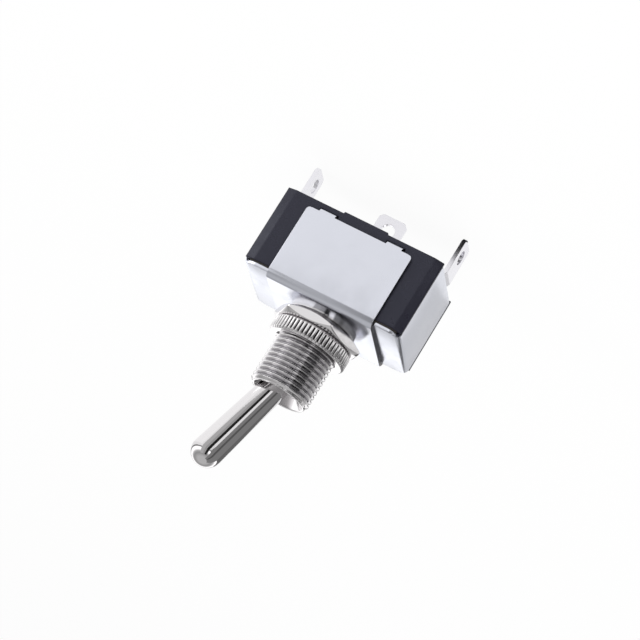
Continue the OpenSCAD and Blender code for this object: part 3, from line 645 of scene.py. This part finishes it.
class SWITCH_OT_sheets(bpy.types.Operator):
    """Folded bracket with its crimped tabs, and the end strap under it"""

    bl_idname = "switch.sheets"
    bl_label = "Folded sheets"

    def execute(self, context):
        s = context.scene.switch_sheet
        hole = context.scene.switch_thread.major - SHANK_STEP + HOLE_GAP
        self.bracket(s, hole)
        self.strap(s, hole)
        return {"FINISHED"}

    def bracket(self, s, hole):
        """A U whose flanges hang down front and back, pierced for the bushing. The flanges' free
        corners are round: within radius c of the end the half width is
        W / 2 - c + sqrt(c^2 - (distance past the corner's centre)^2)."""
        low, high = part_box("bracket")
        depth, width, height = high.y - low.y, high.x - low.x, s.bracket_height
        path = u_path(depth, height, s.bracket_bend, BRACKET_TOP, s.bracket_thickness)
        corner = 0.8 * MM
        past = np.clip(corner - (path[:, 1] - (BRACKET_TOP - height)), 0, corner)
        half = width / 2 - corner + np.sqrt(np.maximum(corner ** 2 - past ** 2, 0))
        strip = folded_strip(path, half, s.bracket_thickness, s.edge)
        skins = [pierced(strip[:, :, [1, 0, 2]], hole), *self.tabs(s, depth)]
        bracket = piece("folded_bracket", skins, "case", ["bracket"],
                        bpy.data.materials["zinc_sheet"], 40.0)
        # the bracket's edge faces along X get a darker, duller grey than the zinc
        sheared(bracket, bpy.data.materials["sheared_steel"], 0)

    def tabs(self, s, depth):
        """Four crimped tabs, two under each flange: a straight stretch that starts inside the
        flange, a bend inwards and a short foot under the base. They are a trace thinner than the
        flange, so that their faces don't lie in its faces."""
        thickness = s.bracket_thickness - 0.01 * MM
        place, half_width, foot = 7.0 * MM, 1.65 * MM, 2.3 * MM
        bend, half_depth = 0.9 * MM - thickness / 2, (depth - s.bracket_thickness) / 2
        bottom = BRACKET_TOP - s.bracket_height - s.bracket_thickness / 2
        turn = np.linspace(0, -math.pi / 2, 9)
        arc = np.stack([half_depth - bend + bend * np.cos(turn),
                        bottom + bend + bend * np.sin(turn)], -1)
        path = np.vstack([
            [(half_depth, bottom + bend + 1.2 * MM), (half_depth, bottom + bend + 0.6 * MM)], arc,
            [(half_depth - bend - 0.4 * MM, bottom), (depth / 2 - foot, bottom)]])
        skins = []
        for x in (-place, place):
            for side in (-1, 1):
                points = folded_strip(path * (side, 1), np.full(len(path), half_width), thickness,
                                      s.edge)
                skins.append(skin(points[:, :, [1, 0, 2]] + np.array([x, 0, 0])))
        return skins

    def strap(self, s, hole):
        """A U whose end plates hang down left and right, pierced for the bushing. Its corners are
        round from above: past the corner's centre c the half width is
        W / 2 - R + sqrt(R^2 - (|x| - c)^2), which falls by the plate inset on the way to the end
        plates. Under the bracket's bends the edges are relieved."""
        low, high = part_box("end_strap")
        span, width, height = high.x - low.x, high.y - low.y, high.z - low.z
        under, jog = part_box("bracket")[1].x + 0.2 * MM, 0.02 * MM
        run = math.sqrt(2 * s.strap_round * s.plate_inset - s.plate_inset ** 2)
        centre = span / 2 - run
        across = np.concatenate([np.linspace(span / 2 - 1.05 * s.strap_bend, centre, 8),
                                 [under + jog, under - jog]])
        path = u_path(span, height, s.strap_bend, STRAP_TOP, s.strap_thickness, across)
        x = np.abs(path[:, 0]) * span / (span - s.strap_thickness)
        past = np.clip(x - centre, 0, run)
        half = width / 2 - s.strap_round + np.sqrt(s.strap_round ** 2 - past ** 2)
        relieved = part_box("bracket")[1].y - s.bracket_bend
        half = np.where(np.abs(path[:, 0]) < under, relieved, half)
        corner = 0.5 * MM
        past = np.clip(corner - (path[:, 1] - low.z), 0, corner)
        half = half - corner + np.sqrt(corner ** 2 - past ** 2)
        strip = folded_strip(path, half, s.strap_thickness, s.edge)
        piece("folded_strap", [pierced(strip, hole)], "case", ["end_strap"],
              bpy.data.materials["zinc_sheet"], 40.0)


class SWITCH_OT_finishes(bpy.types.Operator):
    """Materials of all pieces, and those of the CAD solids that stay as they are"""

    bl_idname = "switch.finishes"
    bl_label = "Finishes"

    def execute(self, context):
        s = context.scene.switch_colours
        self.plating(context, s)
        zinc_sheet("zinc_sheet", s.zinc)
        moulded_black("moulded_phenolic", s.case)
        self.small_pieces(s)
        for name, nodes in (
                ("moulded_phenolic", ("base",)), ("pressed_fibre", ("gasket",)),
                ("tinned_brass", ("terminal_left", "terminal_right", "terminal_centre")),
                ("phosphor_bronze", ("rocker", "cradle", "centre_rivet")),
                ("contact_silver", ("rocker_contact_left", "rocker_contact_right",
                                    "contact_rivet_left", "contact_rivet_right")),
                ("bright_steel", ("pivot_pin", "rocker_pin", "plunger_spring")),
                ("natural_nylon", ("plunger",))):
            for node in nodes:
                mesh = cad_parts[node].data
                mesh.materials.clear()
                mesh.materials.append(bpy.data.materials[name])
        return {"FINISHED"}

    def plating(self, context, s):
        """The threaded bushing keeps a clear trace of its turning, the milled and knurled nuts
        less of it, and the lever was polished before it was plated."""
        nickel_plate("nickel_turned", s.nickel, 0.12, 9.0)
        nickel_plate("nickel_milled", s.nickel, 0.09, 5.0)
        nickel_plate("nickel_knurled", s.nickel, 0.09, 5.0)
        nickel_plate("nickel_polished", s.nickel, 0.06, 3.0)
        thread, nuts = context.scene.switch_thread, context.scene.switch_nuts
        # painted shade: the thread's valleys are coloured a mid grey
        painted_groove_shade("nickel_turned", s.nickel, "a9a7aa", thread.major - thread.depth, thread.major,
                     SHOULDER + 1.2 * MM, MOUTH - 0.7 * MM)
        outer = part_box("knurled_nut")[1].x
        # painted shade: the knurl's grooves are coloured near black
        painted_groove_shade("nickel_knurled", s.nickel, "2a292b", outer - nuts.knurl_depth, outer,
                     RING_LOW + 0.5 * MM, RING_HIGH - 0.5 * MM)

    def small_pieces(self, s):
        """Each row is a material's name, colour, metallic share and roughness, then how many of
        its grains fit in a millimetre, their depth and the rounding of its edges, in
        millimetres."""
        for name, value, metallic, roughness, grain, depth, rounding in (
                # tin over brass: a soft, nearly white mirror on the blades
                ("tinned_brass", s.tin, 1.0, 0.2, 1.4, 0.0008, 0.1),
                # the sheet's edge faces that look along X: a darker grey than the zinc, and duller
                ("sheared_steel", linear("6e6c6e"), 1.0, 0.42, 2.6, 0.004, 0.05),
                # spring bronze, rolled and stamped: a reddish satin
                ("phosphor_bronze", linear("c98f5c"), 1.0, 0.3, 2.6, 0.002, 0.08),
                # headed silver: white, with a soft gloss
                ("contact_silver", linear("e8e6df"), 1.0, 0.28, 3.0, 0.002, 0.05),
                # drawn wire and pins: a hard grey gloss
                ("bright_steel", linear("c4c6c9"), 1.0, 0.25, 3.0, 0.002, 0.05),
                # unfilled nylon, moulded: ivory and waxy
                ("natural_nylon", linear("e6e1d2"), 0.0, 0.4, 1.8, 0.004, 0.05),
                # pressed fibre sheet: brown-black and matt, like card
                ("pressed_fibre", linear("2e2a26"), 0.0, 0.75, 2.2, 0.02, 0.05)):
            plain_finish(name, value, metallic, roughness, grain, depth, rounding)


# ---- operator: the stage -------------------------------------------------------------------


class SWITCH_OT_stage(bpy.types.Operator):
    """Pale floor, soft lamps, reflector cards, world and camera"""

    bl_idname = "switch.stage"
    bl_label = "Stage"

    def execute(self, context):
        self.floor()
        self.world()
        self.cards()
        self.lamps()
        self.camera()
        context.scene.view_settings.view_transform = "Standard"
        return {"FINISHED"}

    def direct_ray(self, tree):
        """1 for a ray from the camera or from a mirror or glass, else 0."""
        ray = add(tree, "ShaderNodeLightPath").outputs
        first = add(tree, "ShaderNodeMath", {"operation": "MAXIMUM"},
                    {0: ray["Is Camera Ray"], 1: ray["Is Glossy Ray"]})
        return add(tree, "ShaderNodeMath", {"operation": "MAXIMUM"},
                   {0: first.outputs[0], 1: ray["Is Transmission Ray"]}).outputs[0]

    def floor(self):
        """White paper just under the terminals, matt and uncoated. It shows white, and a small
        share of its own shading stays, so that the object's shadow is kept."""
        half, z, glowing = 3.0, TERMINAL_ENDS - 0.3 * MM, 0.94
        mesh = bpy.data.meshes.new("paper_floor")
        mesh.from_pydata([(-half, -half, z), (half, -half, z), (half, half, z), (-half, half, z)],
                         [], [(0, 1, 2, 3)])
        paper = bpy.data.materials.new("paper")
        paper.use_nodes = True
        tree = paper.node_tree
        shader = tree.nodes["Principled BSDF"]
        shader.inputs["Base Color"].default_value = (0.85, 0.85, 0.85, 1)
        shader.inputs["Roughness"].default_value = 0.9
        glow = add(tree, "ShaderNodeEmission", {"Color": (1, 1, 1, 1), "Strength": 1.0})
        share = add(tree, "ShaderNodeMath", {"operation": "MULTIPLY", 1: glowing},
                    {0: self.direct_ray(tree)})
        mix = add(tree, "ShaderNodeMixShader", links={
            "Fac": share.outputs[0], 1: shader.outputs[0], 2: glow.outputs[0]})
        tree.links.new(mix.outputs[0], tree.nodes["Material Output"].inputs["Surface"])
        mesh.materials.append(paper)
        floor = bpy.data.objects.new("paper_floor", mesh)
        bpy.context.scene.collection.objects.link(floor)

    def world(self):
        """A white room for the camera. Metal sees the room's levels by height, and matt surfaces
        are lit at a plain level."""
        plain_level = 0.55
        world = bpy.data.worlds.new("studio")
        bpy.context.scene.world = world
        world.use_nodes = True
        tree = world.node_tree
        tree.nodes.clear()
        direction = add(tree, "ShaderNodeTexCoord").outputs["Generated"]
        height = add(tree, "ShaderNodeSeparateXYZ", links={"Vector": direction}).outputs["Z"]
        ceiling = add(tree, "ShaderNodeValToRGB", links={"Fac": height})
        ramp = ceiling.color_ramp.elements
        ramp[0].position, ramp[1].position = ROOM[0][0], ROOM[-1][0]
        for place, _ in ROOM[1:-1]:
            ramp.new(place)
        for element, (_, level) in zip(ramp, ROOM):
            element.color = (level, level, level, 1)
        ray = add(tree, "ShaderNodeLightPath").outputs
        room = add(tree, "ShaderNodeBackground", {"Color": (1, 1, 1, 1)},
                   {"Strength": ceiling.outputs["Color"]})
        white = add(tree, "ShaderNodeBackground", {"Color": (1, 1, 1, 1), "Strength": 1.0})
        fill = add(tree, "ShaderNodeBackground", {"Color": (1, 1, 1, 1), "Strength": plain_level})
        seen = add(tree, "ShaderNodeMixShader", links={
            "Fac": ray["Is Glossy Ray"], 1: white.outputs[0], 2: room.outputs[0]})
        last = add(tree, "ShaderNodeMixShader", links={
            "Fac": self.direct_ray(tree), 1: fill.outputs[0], 2: seen.outputs[0]})
        out = add(tree, "ShaderNodeOutputWorld")
        tree.links.new(last.outputs[0], out.inputs["Surface"])

    def cards(self):
        """Black, grey and white cards stand round the object from the floor up, as in a studio:
        they draw the bands that make bright plating look bright. Each row is a card's name, its
        middle's azimuth and its width, both in degrees, its near and far distance from the axis
        and its lower and upper height in millimetres, and its brightness. The upright cards have
        one distance, and card_black_low lies on the floor."""
        for name, azimuth, spread, near, far, low, high, level in (
                ("card_grey_side", 190.0, 84.0, 110.0, 110.0, -36.2, 260.0, 0.24),
                ("card_dark_side", 203.0, 14.0, 108.0, 108.0, -36.2, 200.0, 0.11),
                ("card_black_front", 257.0, 18.0, 112.0, 112.0, -30.0, 120.0, 0.02),
                ("card_grey_front", 273.0, 14.0, 114.0, 114.0, -30.0, 120.0, 0.4),
                ("card_pale_front", 292.0, 24.0, 116.0, 116.0, -30.0, 120.0, 0.52),
                ("card_white_side", 12.0, 116.0, 75.0, 75.0, -36.2, 4.0, 1.12),
                ("card_white_low", 329.0, 30.0, 60.0, 60.0, -36.2, -20.0, 2.2),
                ("card_white_crease", 254.5, 5.0, 62.0, 62.0, -36.2, -20.0, 2.0),
                ("card_black_facet", 243.0, 16.0, 64.0, 64.0, -36.2, -16.0, 0.02),
                ("card_black_low", 208.0, 50.0, 14.0, 84.0, -36.2, -35.8, 0.02),
                ("card_dark_back", 124.0, 52.0, 112.0, 112.0, 2.0, 45.0, 0.16),
                ("card_back", 138.5, 32.0, 30.0, 30.0, -32.5, -8.0, 0.7)):
            self.card(name, azimuth, spread, (near * MM, low * MM), (far * MM, high * MM), level)

    def card(self, name, azimuth, spread, foot, head, level):
        """Curved card round the object, spread degrees wide about azimuth and lit at level: the
        points (r cos a, r sin a, z) on the arcs of its foot and head, each a radius and a height.
        Only mirrors see it, so it neither shows nor casts a shadow."""
        columns = 13
        a = np.radians(azimuth + np.linspace(-spread / 2, spread / 2, columns))
        points = np.concatenate([
            np.stack([radius * np.cos(a), radius * np.sin(a), np.full(columns, z)], -1)
            for radius, z in (foot, head)])
        i = np.arange(columns - 1)
        quads = np.stack([i, i + 1, i + columns + 1, i + columns], -1)
        mesh = bpy.data.meshes.new(name)
        mesh.from_pydata(points, [], quads.tolist())
        material = bpy.data.materials.new(name)
        material.use_nodes = True
        tree = material.node_tree
        tree.nodes.remove(tree.nodes["Principled BSDF"])
        glow = add(tree, "ShaderNodeEmission", {"Color": (level, level, level, 1),
                                                "Strength": 1.0})
        tree.links.new(glow.outputs[0], tree.nodes["Material Output"].inputs["Surface"])
        mesh.materials.append(material)
        card = bpy.data.objects.new(name, mesh)
        for ray in ("camera", "diffuse", "transmission", "shadow", "volume_scatter"):
            setattr(card, "visible_" + ray, False)
        bpy.context.scene.collection.objects.link(card)

    def lamps(self):
        """Three soft round lamps that point at the origin, each with its place and size in metres.
        Mirrors don't see them, because the cards and the room are there for that."""
        for name, place, size, watts in (
                ("key", (-0.25, -0.55, 0.5), 0.45, 2.6), ("fill", (0.6, -0.3, 0.25), 0.5, 1.4),
                ("top", (0.0, 0.2, 0.7), 0.5, 1.6)):
            lamp = bpy.data.lights.new(name, "AREA")
            lamp.shape = "DISK"
            lamp.size = size
            lamp.energy = watts
            thing = bpy.data.objects.new(name, lamp)
            thing.location = place
            aim = -thing.location.normalized()
            thing.rotation_euler = aim.to_track_quat("-Z", "Y").to_euler()
            thing.visible_glossy = False
            bpy.context.scene.collection.objects.link(thing)

    def camera(self):
        """Long lens from the front left and a little above, rolled so that the lever points down
        to the left."""
        lens = bpy.data.cameras.new("camera")
        lens.lens = 168.75
        lens.sensor_width = 36.0
        lens.clip_end = 20.0
        camera = bpy.data.objects.new("camera", lens)
        right = (-0.8569, 0.10589, -0.5045)
        up = (0.43214, -0.38602, -0.81501)
        back = (-0.28105, -0.91639, 0.28502)
        place = (-153.163 * MM, -501.687 * MM, 145.586 * MM)
        rows = [(right[i], up[i], back[i], place[i]) for i in range(3)] + [(0, 0, 0, 1)]
        camera.matrix_world = type(camera.matrix_world)(rows)
        bpy.context.scene.collection.objects.link(camera)
        bpy.context.scene.camera = camera


# ---- panel and registration ----------------------------------------------------------------

GROUPS = (("switch_thread", SwitchThread), ("switch_nuts", SwitchNuts),
          ("switch_lever", SwitchLever), ("switch_sheet", SwitchSheet),
          ("switch_colours", SwitchColours))
OPERATORS = (SWITCH_OT_finishes, SWITCH_OT_bushing, SWITCH_OT_nuts, SWITCH_OT_lever,
             SWITCH_OT_sheets, SWITCH_OT_stage)


class SWITCH_PT_panel(bpy.types.Panel):
    """Lists the switch's sizes and colours, and the operators that make its pieces"""

    bl_idname = "SWITCH_PT_panel"
    bl_label = "Panel toggle switch"
    bl_space_type = "VIEW_3D"
    bl_region_type = "UI"
    bl_category = "Switch"

    def draw(self, context):
        for name, group in GROUPS:
            values = getattr(context.scene, name)
            box = self.layout.box()
            for key in group.__annotations__:
                box.prop(values, key)
        for operator in OPERATORS:
            self.layout.operator(operator.bl_idname)


def register():
    for name, group in GROUPS:
        bpy.utils.register_class(group)
        setattr(bpy.types.Scene, name, bpy.props.PointerProperty(type=group))
    for operator in OPERATORS:
        bpy.utils.register_class(operator)
    bpy.utils.register_class(SWITCH_PT_panel)


def unregister():
    bpy.utils.unregister_class(SWITCH_PT_panel)
    for operator in reversed(OPERATORS):
        bpy.utils.unregister_class(operator)
    for name, group in reversed(GROUPS):
        delattr(bpy.types.Scene, name)
        bpy.utils.unregister_class(group)


def main():
    register()
    bpy.ops.switch.finishes()
    bpy.ops.switch.bushing()
    bpy.ops.switch.nuts()
    bpy.ops.switch.lever()
    bpy.ops.switch.sheets()
    bpy.ops.switch.stage()


if __name__ == "__main__":
    main()
